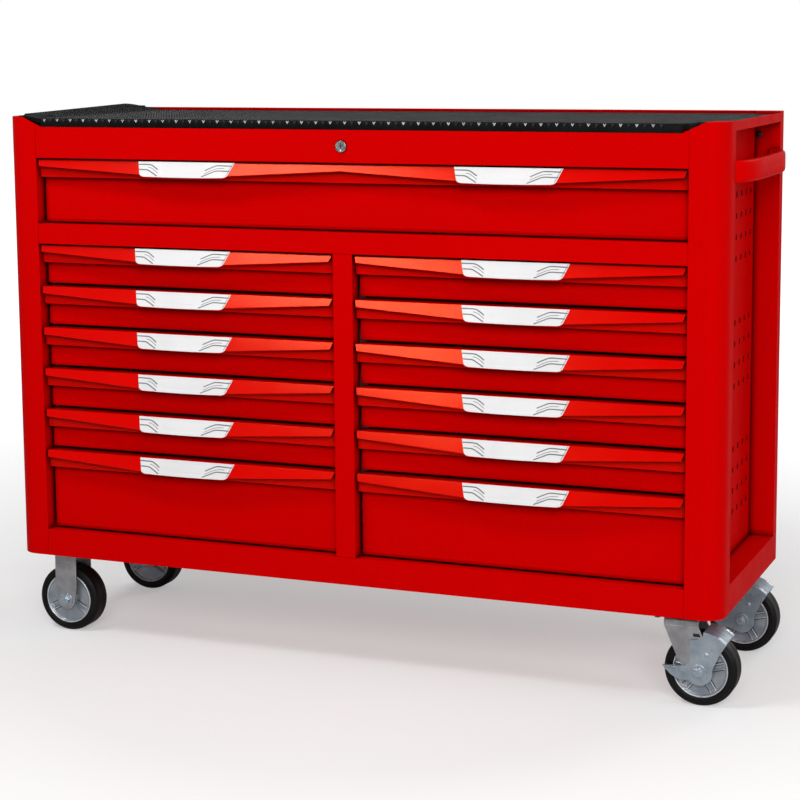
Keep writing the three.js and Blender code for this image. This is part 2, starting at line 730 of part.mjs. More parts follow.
const SHOE_ARC = [48, 84];       // the lever's shoe about the axle, degrees
const SHOE_INNER = WHEEL_RADIUS + 4.5;
const SHOE_OUTER = SHOE_INNER + 3;
const BOSS_RADIUS = 24;
const PEDAL_FLANGE = 7;
const CHEEK_BACK = [[6, 57], [-16, 55], [-16, 14]];
const PEDAL = [[-26, 8.5], [-62, 8], [-60, 1], [-49, -8], [-40, -14], [-30, -17]];

function about(radius, degrees) {
  const angle = THREE.MathUtils.degToRad(degrees);
  return [radius * Math.cos(angle), radius * Math.sin(angle)];
}

function arc(radius, from, to, steps) {
  const step = (to - from) / steps;
  return Array.from({ length: steps + 1 }, (_, i) => about(radius, from + i * step));
}

// Rocker lever: two cheeks on the axle, a shoe over the tyre and a pedal flange opposite.
function brakeLever() {
  const inner = forkOuter + 0.8;
  const outer = inner + 2.2;
  const steps = 4;
  const cheek = outline([
    ...arc(SHOE_OUTER, ...SHOE_ARC, steps),
    ...CHEEK_BACK,
    ...PEDAL,
    ...arc(BOSS_RADIUS, 228, 380, steps),
  ]);
  const sides = [-1, 1].map((end) => {
    const [y0, y1] = [end * inner, end * outer].sort((a, b) => a - b);
    const [f0, f1] = [end * inner, end * (outer + PEDAL_FLANGE)].sort((a, b) => a - b);
    return [prismY(cheek, y0, y1), box(-61, -34, f0, f1, 5.5, 7.7)];
  });
  const shoe = [
    ...arc(SHOE_OUTER, ...SHOE_ARC, steps),
    ...arc(SHOE_INNER, SHOE_ARC[1], SHOE_ARC[0], steps),
  ];
  const bore = rodY(AXLE_RADIUS + 0.5, -outer - 5, outer + 5, 12);
  const lever = joined([...sides.flat(), prismY(outline(shoe), -outer, outer)]);
  return geometryOf(lever.subtract(solid(bore)));
}

const STATIONS = [['front', FIXED_FRONT, SWIVEL_FRONT], ['rear', CASTER_REAR, CASTER_REAR]];
for (const [end, fixedY, swivelY] of STATIONS) {
  const fixed = new THREE.Group();
  fixed.position.set(-HALF + FIXED_INSET, fixedY, 0);
  chest.add(fixed);
  part(fixed, `fixed_fork_${end}_left`, fixedFork(), zinc);
  part(fixed, `wheel_${end}_left`, wheel(), rubber, 0, 0, WHEEL_RADIUS);

  const swivel = new THREE.Group();
  swivel.position.set(HALF - SWIVEL_INSET, swivelY, 0);
  chest.add(swivel);
  part(swivel, `swivel_plate_${end}_right`, swivelPlate(), zinc);
  part(swivel, `swivel_fork_${end}_right`, swivelFork(), zinc);
  part(swivel, `wheel_${end}_right`, wheel(), rubber, TRAIL, 0, WHEEL_RADIUS);
  part(swivel, `brake_lever_${end}_right`, brakeLever(), zinc, TRAIL, 0, WHEEL_RADIUS);
}

// The whole chest's box runs from the left side to the handle and from the grips to the back.
chest.position.set(-HANDLE_REACH / 2, -(DEPTH - GRIP_REACH) / 2, 0);

export default chest;
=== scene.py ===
import math

import bmesh
import bpy
from mathutils import Matrix, Vector


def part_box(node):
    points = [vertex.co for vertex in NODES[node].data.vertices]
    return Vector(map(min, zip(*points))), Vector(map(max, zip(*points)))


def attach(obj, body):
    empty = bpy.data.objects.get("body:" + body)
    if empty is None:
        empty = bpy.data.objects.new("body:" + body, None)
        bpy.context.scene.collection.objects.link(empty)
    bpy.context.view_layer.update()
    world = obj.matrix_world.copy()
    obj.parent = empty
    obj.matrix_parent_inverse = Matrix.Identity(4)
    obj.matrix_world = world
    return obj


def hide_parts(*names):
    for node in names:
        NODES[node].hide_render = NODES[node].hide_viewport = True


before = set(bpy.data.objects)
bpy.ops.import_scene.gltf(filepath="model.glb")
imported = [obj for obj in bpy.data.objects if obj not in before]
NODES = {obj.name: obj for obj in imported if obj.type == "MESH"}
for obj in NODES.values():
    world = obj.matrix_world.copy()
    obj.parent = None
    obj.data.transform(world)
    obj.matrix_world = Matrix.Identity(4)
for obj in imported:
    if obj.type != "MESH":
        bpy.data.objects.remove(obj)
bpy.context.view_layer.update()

SCENE = bpy.context.scene

# ------------------------------------------------------------------ places, in millimetres
# The body frame: X from the middle, Y back from the posts' front, Z up from the posts' foot.
MM = 0.001
post_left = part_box("corner_post_front_left")
post_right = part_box("corner_post_front_right")
ORIGIN = Vector(((post_left[0].x + post_right[1].x) / 2, post_left[0].y, post_left[0].z))
PLACE = Matrix.Translation(ORIGIN) @ Matrix.Scale(MM, 4)


def body_box(node):
    """A CAD node's lowest and highest corners in the body frame, in millimetres."""
    low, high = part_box(node)
    return (low - ORIGIN) / MM, (high - ORIGIN) / MM


HALF = body_box("corner_post_front_right")[1].x
OPENING = body_box("corner_post_front_right")[0].x
HEIGHT = body_box("corner_post_front_right")[1].z
DEPTH = body_box("back_panel")[1].y
BAY_FACE = body_box("side_panel_right")[1].x


# ------------------------------------------------------------------ materials
class Nodes:
    """A short way to wire a node tree."""

    def __init__(self, tree):
        self.tree = tree

    def add(self, kind, **sockets):
        node = self.tree.nodes.new(kind)
        for key, value in sockets.items():
            self.set(node, key, value)
        return node

    def set(self, node, key, value):
        socket = node.inputs[int(key[1:])] if key[0] == "i" and key[1:].isdigit() else node.inputs[key]
        if isinstance(value, bpy.types.NodeSocket):
            self.tree.links.new(value, socket)
        else:
            socket.default_value = value

    def noise(self, where, scale, detail=2.0, roughness=0.5):
        node = self.add("ShaderNodeTexNoise", Vector=where, Scale=scale, Detail=detail, Roughness=roughness)
        return node.outputs["Fac"]

    def remap(self, value, a, b, c, d):
        node = self.add("ShaderNodeMapRange")
        for i, item in enumerate((value, a, b, c, d)):
            self.set(node, f"i{i}", item)
        return node.outputs[0]

    def math(self, kind, a, b=0.0):
        node = self.add("ShaderNodeMath", i0=a, i1=b)
        node.operation = kind
        return node.outputs[0]

    def mix(self, factor, a, b):
        node = self.add("ShaderNodeMix")
        node.data_type = "RGBA"
        for key, value in ((0, factor), (6, a), (7, b)):
            self.set(node, f"i{key}", value)
        return node.outputs[2]

    def bump(self, height, strength, distance, normal=None):
        node = self.add("ShaderNodeBump", Strength=strength, Distance=distance, Height=height)
        if normal is not None:
            self.set(node, "Normal", normal)
        return node.outputs["Normal"]


def rgba(colour):
    """A colour with full alpha, as the colour sockets take it."""
    return (*colour, 1.0)


def surface(name, light, dark, rough, metallic=0.0, grain=900.0, bump=0.05, patch=6.0, edge=None,
            stretch=(1.0, 1.0, 1.0), specular=0.5, tint=None, crease=0.0):
    """A finish whose colour drifts between two tones, with fine bump, uneven gloss, worn edges
    and, over the crease distance, painted shade that darkens inside corners and narrow gaps."""
    material = bpy.data.materials.new(name)
    material.use_nodes = True
    tree = material.node_tree
    shader = tree.nodes["Principled BSDF"]
    kit = Nodes(tree)
    coords = kit.add("ShaderNodeTexCoord").outputs["Object"]
    scaled = kit.add("ShaderNodeMapping", Vector=coords, Scale=stretch).outputs["Vector"]
    drift = kit.noise(coords, patch, 3.0)
    colour = kit.mix(kit.remap(drift, 0.35, 0.65, 0.0, 1.0), rgba(dark), rgba(light))
    if edge is not None:
        rounded = kit.add("ShaderNodeBevel", Radius=0.0009)
        rounded.samples = 2
        turned = kit.add("ShaderNodeVectorMath", i0=rounded.outputs["Normal"],
                         i1=kit.add("ShaderNodeNewGeometry").outputs["Normal"])
        turned.operation = "DOT_PRODUCT"
        broken = kit.noise(coords, 60.0, 4.0)
        worn = kit.remap(turned.outputs["Value"], 0.99, 0.90, 0.0, 1.0)
        wear = kit.math("MULTIPLY", worn, kit.remap(broken, 0.4, 0.6, 0.2, 1.0))
        colour = kit.mix(wear, colour, rgba(edge))
    # Painted shade: ambient occlusion darkens the colour in inside corners and narrow gaps.
    if crease:
        closed = kit.add("ShaderNodeAmbientOcclusion", Distance=crease)
        closed.samples = 6
        shade = tuple(0.05 * part for part in dark)
        colour = kit.mix(kit.remap(closed.outputs["AO"], 0.38, 0.92, 0.0, 1.0), rgba(shade), colour)
    kit.set(shader, "Base Color", colour)
    kit.set(shader, "Roughness", kit.remap(kit.noise(scaled, 22.0, 4.0), 0.3, 0.7, *rough))
    fine = kit.noise(scaled, grain, 3.0)
    kit.set(shader, "Normal", kit.bump(fine, bump, 0.0006))
    shader.inputs["Metallic"].default_value = metallic
    shader.inputs["Specular IOR Level"].default_value = specular
    if tint is not None:
        shader.inputs["Specular Tint"].default_value = rgba(tint)
    return material


RED = surface(
    "red_paint", (0.50, 0.0002, 0.0004), (0.485, 0.0001, 0.0003), (0.40, 0.50),
    grain=700.0, bump=0.03, patch=1.6, edge=(0.60, 0.003, 0.003), specular=0.015,
    tint=(1.0, 0.02, 0.015), crease=0.014)
PULL = surface(
    "pull_red", (0.57, 0.0002, 0.0005), (0.54, 0.0002, 0.0004), (0.15, 0.20),
    grain=500.0, bump=0.03, patch=5.0, edge=(0.66, 0.008, 0.005), specular=0.32,
    tint=(1.0, 0.17, 0.03), crease=0.018)
HANDLE = surface(
    "handle_red", (0.56, 0.0002, 0.0004), (0.52, 0.0002, 0.0004), (0.24, 0.32),
    grain=420.0, bump=0.05, patch=8.0, edge=(0.60, 0.01, 0.008), specular=0.005,
    tint=(1.0, 0.10, 0.08))
RUBBER = surface(
    "mat_rubber", (0.010, 0.0098, 0.010), (0.005, 0.0048, 0.005), (0.50, 0.66),
    grain=900.0, bump=0.22, patch=14.0, edge=(0.03, 0.03, 0.031), specular=0.04)
# Painted highlight: a lighter copy of the mat rubber for the stud tops, where light catches them.
STUD_LIT_TOP = surface(
    "mat_stud_lit_top", (0.15, 0.149, 0.15), (0.10, 0.099, 0.10), (0.44, 0.60),
    grain=900.0, bump=0.22, patch=14.0, edge=(0.09, 0.09, 0.092), specular=0.1)
# Painted shade: a darker copy of the mat rubber for the front band and the corner.
SHADED_BAND = surface(
    "mat_band_shaded", (0.004, 0.004, 0.004), (0.002, 0.002, 0.002), (0.45, 0.60),
    grain=900.0, bump=0.2, patch=20.0, edge=(0.012, 0.012, 0.012), specular=0.06)
# Painted shade: a dark sheet standing for the shade behind the side panels' hook holes.
SHADE_SHEET = surface(
    "painted_shade_sheet", (0.030, 0.004, 0.004), (0.018, 0.002, 0.002), (0.60, 0.75),
    grain=300.0, bump=0.1, patch=10.0, specular=0.1)
# Painted glints: light and dull copies of the mat rubber standing for the front teeth's highlights.
GLINT_BRIGHT = surface(
    "painted_glint", (0.52, 0.52, 0.53), (0.30, 0.30, 0.31), (0.35, 0.50),
    grain=900.0, bump=0.2, patch=90.0)
GLINT_DULL = surface(
    "painted_glint_dull", (0.035, 0.035, 0.036), (0.02, 0.02, 0.021), (0.40, 0.55),
    grain=900.0, bump=0.2, patch=90.0, specular=0.2)
TYRE = surface(
    "tyre", (0.0050, 0.0042, 0.0042), (0.0025, 0.0021, 0.0021), (0.34, 0.50),
    grain=700.0, bump=0.18, patch=20.0, edge=(0.02, 0.017, 0.017), specular=0.16)
ZINC = surface(
    "zinc", (0.34, 0.34, 0.35), (0.24, 0.24, 0.255), (0.30, 0.46),
    metallic=0.6, grain=420.0, bump=0.12, patch=45.0, edge=(0.72, 0.73, 0.75))
BLUE_ZINC = surface(
    "blue_zinc", (0.34, 0.39, 0.44), (0.24, 0.29, 0.34), (0.24, 0.40),
    metallic=0.6, grain=420.0, bump=0.10, patch=40.0, edge=(0.85, 0.88, 0.91))
HUB = surface(
    "hub_zinc", (0.33, 0.36, 0.40), (0.21, 0.24, 0.28), (0.26, 0.40),
    metallic=0.6, grain=380.0, bump=0.16, patch=34.0, edge=(0.80, 0.83, 0.85))
# Painted highlight: bright strips on the hub ribs, the hub rim and the lever shoe's creases.
HIGHLIGHT_STRIP = surface(
    "painted_highlight_strip", (0.75, 0.78, 0.80), (0.60, 0.63, 0.66), (0.20, 0.34),
    metallic=0.4, grain=380.0, bump=0.12, patch=34.0)
BADGE = surface(
    "satin_silver", (0.64, 0.64, 0.645), (0.60, 0.60, 0.605), (0.34, 0.44),
    metallic=0.0, grain=260.0, bump=0.05, patch=12.0, stretch=(0.1, 1.0, 1.0),
    edge=(0.60, 0.60, 0.60), specular=0.25)
CHROME = surface(
    "chrome", (0.50, 0.51, 0.52), (0.34, 0.35, 0.37), (0.10, 0.20),
    metallic=1.0, grain=500.0, bump=0.05, patch=60.0, edge=(0.90, 0.90, 0.90))
DARK = surface(
    "dark_steel", (0.040, 0.040, 0.043), (0.020, 0.020, 0.022), (0.30, 0.46),
    metallic=0.7, grain=600.0, bump=0.14, patch=40.0, edge=(0.12, 0.12, 0.13))
# Painted shade: the grey of the lines drawn for the shade in the badge grooves.
GROOVE_SHADE = surface(
    "groove_painted_shade", (0.17, 0.175, 0.185), (0.12, 0.125, 0.13), (0.40, 0.55),
    grain=800.0, bump=0.15, patch=30.0, specular=0.2)


# ------------------------------------------------------------------ mesh building
def add_rings(bm, rings, closed=True, caps=True):
    """Skins a row of rings, each a list of points."""
    rows = [[bm.verts.new(p) for p in ring] for ring in rings]
    for a, b in zip(rows, rows[1:]):
        count = len(a)
        for i in range(count if closed else count - 1):
            j = (i + 1) % count
            bm.faces.new((a[i], a[j], b[j], b[i]))
    if caps:
        bm.faces.new(rows[0][::-1])
        bm.faces.new(rows[-1])
    return rows


def add_loop(bm, rings):
    """Skins rings that come back to the first one."""
    rows = [[bm.verts.new(p) for p in ring] for ring in rings]
    for k, a in enumerate(rows):
        b = rows[(k + 1) % len(rows)]
        for i in range(len(a)):
            j = (i + 1) % len(a)
            bm.faces.new((a[i], a[j], b[j], b[i]))


def add_prism(bm, outline, axis, a, b, place=None):
    """Runs an outline along an axis from a to b. The outline's pairs are the other two axes in order."""
    def point(pair, along):
        values = list(pair)
        values.insert("xyz".index(axis), along)
        spot = Vector(values)
        return place @ spot if place is not None else spot

    add_rings(bm, [[point(p, a) for p in outline], [point(p, b) for p in outline]])


def add_block(bm, x, y, z, place=None):
    """A box between the (low, high) pairs of each axis."""
    add_prism(bm, [(x[0], y[0]), (x[1], y[0]), (x[1], y[1]), (x[0], y[1])], "z", z[0], z[1], place)


def add_lathe(bm, profile, place, steps=48, closed=False):
    """Turns (radius, height) points about the place's Z axis."""
    rings = []
    for radius, height in profile:
        turns = [math.tau * i / steps for i in range(steps)]
        rings.append([place @ Vector((radius * math.cos(t), radius * math.sin(t), height)) for t in turns])
    if closed:
        add_loop(bm, rings)
    else:
        add_rings(bm, rings)


def arc(radius, start, end, steps, centre=(0.0, 0.0)):
    """Points along a circle, with the angles in degrees."""
    points = []
    for i in range(steps + 1):
        angle = math.radians(start + (end - start) * i / steps)
        points.append((centre[0] + radius * math.cos(angle), centre[1] + radius * math.sin(angle)))
    return points


def along_y(x, z, y=0.0):
    """A frame whose Z axis runs back along Y."""
    return Matrix.Translation((x, y, z)) @ Matrix.Rotation(math.radians(-90), 4, "X")


def soften(piece, bevel, segments=2, angle=32.0, smooth=True):
    """Rounded edges, with shading that keeps the flats flat."""
    if smooth:
        for face in piece.data.polygons:
            face.use_smooth = True
    if bevel:
        rounding = piece.modifiers.new("rounding", "BEVEL")
        rounding.width = bevel * MM
        rounding.segments = segments
        rounding.limit_method = "ANGLE"
        rounding.angle_limit = math.radians(angle)
    if smooth:
        normals = piece.modifiers.new("normals", "WEIGHTED_NORMAL")
        normals.keep_sharp = True


def finish(name, bm, material, body, bevel=0.0, segments=2, angle=32.0, nodes=(), smooth=True):
    """Turns a mesh in the body frame into a piece that rides on a body and stands in for CAD nodes."""
    bmesh.ops.remove_doubles(bm, verts=bm.verts, dist=0.001)
    bmesh.ops.recalc_face_normals(bm, faces=bm.faces)
    bm.transform(PLACE)
    mesh = bpy.data.meshes.new(name)
    bm.to_mesh(mesh)
    bm.free()
    mesh.materials.append(material)
    piece = bpy.data.objects.new(name, mesh)
    SCENE.collection.objects.link(piece)
    soften(piece, bevel, segments, angle, smooth)
    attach(piece, body)
    if nodes:
        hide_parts(*nodes)
    return piece


def dress(node, material, bevel=0.5, segments=2):
    """Gives a CAD node its finish and rolled sheet edges."""
    piece = NODES[node]
    piece.data.materials.clear()
    piece.data.materials.append(material)
    weld = piece.modifiers.new("weld", "WELD")
    weld.merge_threshold = 0.01 * MM
    flats = piece.modifiers.new("flats", "DECIMATE")
    flats.decimate_type = "DISSOLVE"
    flats.angle_limit = math.radians(0.5)
    soften(piece, bevel, segments)


# ------------------------------------------------------------------ sheet-metal body
for node in ("header_rail", "mid_rail", "centre_pillar", "base_pan", "top_tray"):
    dress(node, RED, 0.5)
for side in ("left", "right"):
    dress(f"corner_post_front_{side}", RED, 0.5)
    dress(f"corner_post_rear_{side}", RED, 0.5)
    dress(f"side_panel_{side}", RED, 0.35, 1)
    dress(f"runner_bank_{side}", ZINC, 0.3, 1)
    dress(f"runner_bank_centre_{side}", ZINC, 0.3, 1)
dress("back_panel", RED, 0.4)
dress("divider_panel", RED, 0.4)
dress("lock_rod", DARK, 0.5)
dress("lock_bar", DARK, 0.5)


def panel_shade_sheet(side, sign):
    """A thin dark sheet behind the hook holes of a side panel: painted shade for the hollow inside."""
    low, high = body_box(f"side_panel_{side}")
    outer = BAY_FACE - 1.55
    x = sorted((sign * outer, sign * (outer - 0.2)))
    bm = bmesh.new()
    add_block(bm, x, (low.y + 12.0, high.y - 12.0), (low.z + 60.0, high.z - 20.0))
    finish(f"panel_shade_sheet_{side}", bm, SHADE_SHEET, "cabinet")


panel_shade_sheet("left", -1)
panel_shade_sheet("right", 1)


# ------------------------------------------------------------------ top mat
MAT_LOW, MAT_HIGH = body_box("top_mat")
MAT_FLAT = HEIGHT - 5.2
STUD = 2.5
STUD_PITCH = (5.5, 10.0)
TOOTH_PITCH = 13.75
POST_FRONT = body_box("corner_post_front_right")[1].y
HEADER_TOP = body_box("header_rail")[1].z
POST_REAR = body_box("corner_post_rear_right")[0].y
RAIL_END = body_box("header_rail")[1].x


def mat_level(x, y):
    """The mat's height: its left edge rides over the rim and rises towards the back corner."""
    fade = min(1.0, max(0.0, 1.0 - (x - MAT_LOW.x - 2.0) / 100.0))
    back = max(0.0, (y - POST_FRONT) / (DEPTH - POST_FRONT))
    lift = (HEIGHT + 0.4 - MAT_FLAT + (MAT_HIGH.z - HEIGHT - 3.0) * back) * fade * fade * (3 - 2 * fade)
    level = MAT_FLAT + (lift if y > POST_FRONT else 0.0)
    if x < -BAY_FACE + 6.0 and y > POST_REAR - 14.0:
        level = max(level, HEIGHT + 3.8)
    return level


def on_mat(x, y):
    """Whether a spot lies on the mat, which is cut out round the corner posts."""
    if y < MAT_LOW.y + 9.0:
        return abs(x) < RAIL_END - 12.4
    if y < POST_FRONT + 0.6:
        return abs(x) < RAIL_END - 0.4
    if y > POST_REAR - 0.4:
        return x < BAY_FACE - 0.6
    return x < HALF - 2.3


def skirt_level(spot):
    """Where the mat's edge turns down to: the rim that it laps over, or the tray."""
    at_rear = spot.y > POST_REAR - 8.0
    if spot.x < -HALF + 6.0 or (spot.x < -BAY_FACE and at_rear):
        return HEIGHT + (3.5 if at_rear else 0.4)
    return HEIGHT - 13.5


def top_mat():
    """A field of small studs on a rectangular pitch, with the edges turned down to the tray."""
    bm = bmesh.new()
    x0, x1 = MAT_LOW.x + 0.4, HALF - 2.4
    y0, y1 = MAT_LOW.y + 2.4, MAT_HIGH.y - 0.4
    columns, rows = round((x1 - x0) / STUD_PITCH[0]), round((y1 - y0) / STUD_PITCH[1])
    step_x, step_y = (x1 - x0) / columns, (y1 - y0) / rows
    corners = ((0, 0), (1, 0), (1, 1), (0, 1))
    for i in range(columns):
        for j in range(rows):
            spots = [(x0 + (i + a) * step_x, y0 + (j + b) * step_y) for a, b in corners]
            middle = (x0 + (i + 0.5) * step_x, y0 + (j + 0.5) * step_y)
            if not on_mat(*middle):
                continue
            level = mat_level(*middle)
            border = []
            for x, y in spots:
                inside = min(x, RAIL_END - 0.5) if y < POST_FRONT else x
                border.append(Vector((inside, y, mat_level(x, y))))
            rings = [border]
            for across, along, rise in ((0.60, 0.82, 0.0), (0.48, 0.70, STUD)):
                ring = []
                for x, y in spots:
                    near_x = middle[0] + (x - middle[0]) * across
                    near_y = middle[1] + (y - middle[1]) * along
                    ring.append(Vector((near_x, near_y, level + rise)))
                rings.append(ring)
            made = add_rings(bm, rings, caps=False)
            # The stud tops take the second, lighter material: painted highlight.
            bm.faces.new(made[-1]).material_index = 1
    bmesh.ops.remove_doubles(bm, verts=bm.verts, dist=0.01)
    lowered = {}
    for edge in [e for e in bm.edges if e.is_boundary]:
        a, b = edge.verts
        for vert in (a, b):
            if vert not in lowered:
                lowered[vert] = bm.verts.new((vert.co.x, vert.co.y, skirt_level(vert.co)))
        bm.faces.new((a, b, lowered[b], lowered[a]))
    piece = finish("mat_field", bm, RUBBER, "cabinet", smooth=False, nodes=("top_mat",))
    piece.data.materials.append(STUD_LIT_TOP)


def mat_front_edge():
    """The band along the front, with a notched tooth every two studs."""
    reach = RAIL_END - 12.2
    bm = bmesh.new()
    count = int(2 * reach / TOOTH_PITCH)
    step = 2 * reach / count
    rings = []
    for i in range(4 * count + 1):
        x = -reach + i * step / 4
        tooth = {0: 0.0, 1: 0.5, 2: 1.0, 3: 0.5}[i % 4] * (1.9 if (i // 4) % 2 else 1.0)
        y, z = MAT_LOW.y + 0.2, HEIGHT - 17.9
        profile = [(y, z), (y, z + 7.0 - tooth), (y + 0.4 + tooth * 0.5, z + 10.6),
                   (y + 2.2 + tooth, MAT_FLAT + 1.2), (y + 5.0, MAT_FLAT + 1.0 - tooth * 0.8),
                   (y + 9.0, MAT_FLAT - 0.2), (y + 9.0, MAT_FLAT - 5.0), (y + 3.2, MAT_FLAT - 9.0),
                   (y + 3.2, z)]
        rings.append([Vector((x, a, b)) for a, b in profile])
    add_rings(bm, rings)
    # The band takes the darker copy of the mat rubber: painted shade.
    finish("mat_front_edge", bm, SHADED_BAND, "cabinet", smooth=False)


def mat_front_teeth():
    """Painted glints: light V-shaped marks on the front band's tips, every second one brighter."""
    reach = RAIL_END - 20.0
    count = int(2 * reach / TOOTH_PITCH)
    y = MAT_LOW.y + 0.1
    for name, material, offset in (("bright", GLINT_BRIGHT, 0), ("dull", GLINT_DULL, 1)):
        bm = bmesh.new()
        for i in range(offset, count, 2):
            x = -reach + i * TOOTH_PITCH
            for side in (-1, 1):
                outline = [(x, MAT_FLAT - 4.2), (x + side * 2.8, MAT_FLAT + 1.0),
                           (x + side * 1.5, MAT_FLAT + 1.2), (x, MAT_FLAT - 1.6)]
                add_rings(bm, [[Vector((a, y + lean, b)) for a, b in outline] for lean in (0.0, 1.6)])
        finish(f"mat_glints_{name}", bm, material, "cabinet", smooth=False)


def mat_corner():
    """The mat's front left corner, filling the hollow above the post's sloping top."""
    bm = bmesh.new()
    slope_low, slope_high = -OPENING + 10.2, -HALF + 36.0
    drop = (HEIGHT - HEADER_TOP) / 40.0
    rings = []
    for y, back in ((2.4, 0.0), (3.6, 1.0), (POST_FRONT + 0.2, 1.0)):
        outline = [(slope_high - 9.0 * back, HEIGHT + 0.2), (slope_high, HEIGHT + 0.2),
                   (slope_low, HEIGHT - drop * (slope_low - slope_high) + 0.4),
                   (slope_low, MAT_FLAT + 1.6), (slope_high + 4.0, HEIGHT + 1.0 + 1.6 * back),
                   (slope_high - 8.0 * back, HEIGHT + 0.5 + 1.6 * back)]
        rings.append([Vector((x, y, z)) for x, z in outline])
    add_rings(bm, rings)
    finish("mat_corner", bm, SHADED_BAND, "cabinet", smooth=False)


top_mat()
mat_front_edge()
mat_front_teeth()
mat_corner()


# ------------------------------------------------------------------ drawers
RUNNER_FRONT = body_box("runner_bank_left")[0].y
GRIP_HALF = 98.0
WIDE_GRIP = 306.0
LIP_SLOPE = 0.6
LIP_FRONT = 4.5
LIP_NORMAL = Vector((0, -1, LIP_SLOPE)).normalized()


def drawer_layout():
    """Name, middle x, opening width, level and height of each drawer, from its CAD face."""
    layout = []
    names = ["wide"] + [f"{side}_{i}" for side in ("left", "right") for i in range(1, 7)]
    for name in names:
        low, high = body_box(f"drawer_{name}")
        pull_low, pull_high = body_box(f"pull_{name}")
        middle = (low.x + high.x) / 2
        width = pull_high.x - pull_low.x + 5.4
        layout.append((name, middle, width, low.z, high.z))
    return layout


def lip_outline(half, grips):
    """(x, depth) round the lip, clockwise from the top left."""
    taper = 0.38
    points = [(-half, 0.0), (half, 0.0), (half - taper * 12.0, 12.0)]
    for i, x in enumerate(reversed(grips)):
        if i > 0:
            points.append((0.0, 12.0))
        points.append((x + GRIP_HALF - taper * 24.0, 24.0))
        points.append((x + GRIP_HALF - 12.0, 26.4))
        points.append((x + GRIP_HALF - 18.0, 28.0))
        points.append((x - GRIP_HALF + 18.0, 28.0))
        points.append((x - GRIP_HALF + 12.0, 26.4))
        points.append((x - GRIP_HALF + taper * 24.0, 24.0))
    points.append((-half + taper * 12.0, 12.0))
    return points


def pull(name, middle, width, top, grips):
    """The full-width pull: a leaning lip, a bridge behind it and the skirt on the drawer's face."""
    half = width / 2 - 2.7
    bm = bmesh.new()

    def on_lip(x, depth, lift):
        spot = Vector((middle + x, LIP_FRONT - LIP_SLOPE * depth, top - depth))
        return spot + LIP_NORMAL * lift

    shape = lip_outline(half, grips)
    add_rings(bm, [[on_lip(x, d, 0.0) for x, d in shape], [on_lip(x, d, -2.3) for x, d in shape]])
    bridge = [(LIP_FRONT + 0.6, top), (11.8, top), (11.8, top - 2.4), (LIP_FRONT + 0.6, top - 2.4)]
    add_prism(bm, bridge, "x", middle - half, middle + half)
    skirt = [(10.4, top - 0.2), (23.6, top - 0.2), (23.6, top - 1.8), (12.2, top - 1.8),
             (12.2, top - 31.7), (23.6, top - 31.7), (23.6, top - 33.3), (10.4, top - 33.3)]
    add_prism(bm, skirt, "x", middle - half, middle + half)
    finish(f"grip_rail_{name}", bm, PULL, f"drawer_{name}", 0.9, 3, nodes=(f"pull_{name}",))


def badge_outline():
    """(u, depth) of the plate, clockwise from the top left."""
    bow = [(u, 27.2 + 1.0 * (1 - (u / 80.0) ** 2)) for u in range(80, -81, -20)]
    right = [(97.4, 0.9), (90.6, 19.0), (88.6, 23.4), (85.2, 26.0)]
    left = [(-x, d) for x, d in reversed(right)]
    return [(-97.4, 0.9)] + right + bow + left[:-1]


GROOVES = {
    "left_upper": [(-95.0, 6.2), (-84.0, 6.2), (-71.0, 6.6), (-63.0, 9.6), (-53.0, 15.4)],
    "left_fine": [(-74.0, 10.8), (-67.0, 12.4), (-60.0, 16.0), (-52.0, 21.0)],
    "left_lower": [(-91.6, 15.2), (-84.0, 15.2), (-74.0, 15.8), (-64.0, 20.2), (-52.4, 26.0)],
    "right_upper": [(94.4, 6.9), (84.0, 6.6), (65.0, 6.4), (56.0, 9.0), (42.0, 15.2)],
    "right_fine": [(80.0, 11.0), (68.0, 11.2), (58.0, 13.6), (42.0, 20.6)],
    "right_lower": [(91.4, 15.8), (82.0, 15.6), (65.0, 15.6), (54.0, 19.4), (38.0, 25.8)],
    "end_fine": [(94.6, 2.2), (91.0, 11.0), (88.0, 19.0), (86.0, 23.0)],
}


def smooth_path(points, steps=5):
    """A Catmull-Rom curve through the points."""
    ends = [points[0]] + list(points) + [points[-1]]
    curve = []
    for a, b, c, d in zip(ends, ends[1:], ends[2:], ends[3:]):
        for i in range(steps):
            t = i / steps
            spot = []
            for p, q, r, s in zip(a, b, c, d):
                square = (2 * p - 5 * q + 4 * r - s) * t * t
                cube = (3 * q - p - 3 * r + s) * t ** 3
                spot.append(0.5 * (2 * q + (r - p) * t + square + cube))
            curve.append(tuple(spot))
    curve.append(tuple(points[-1]))
    return curve


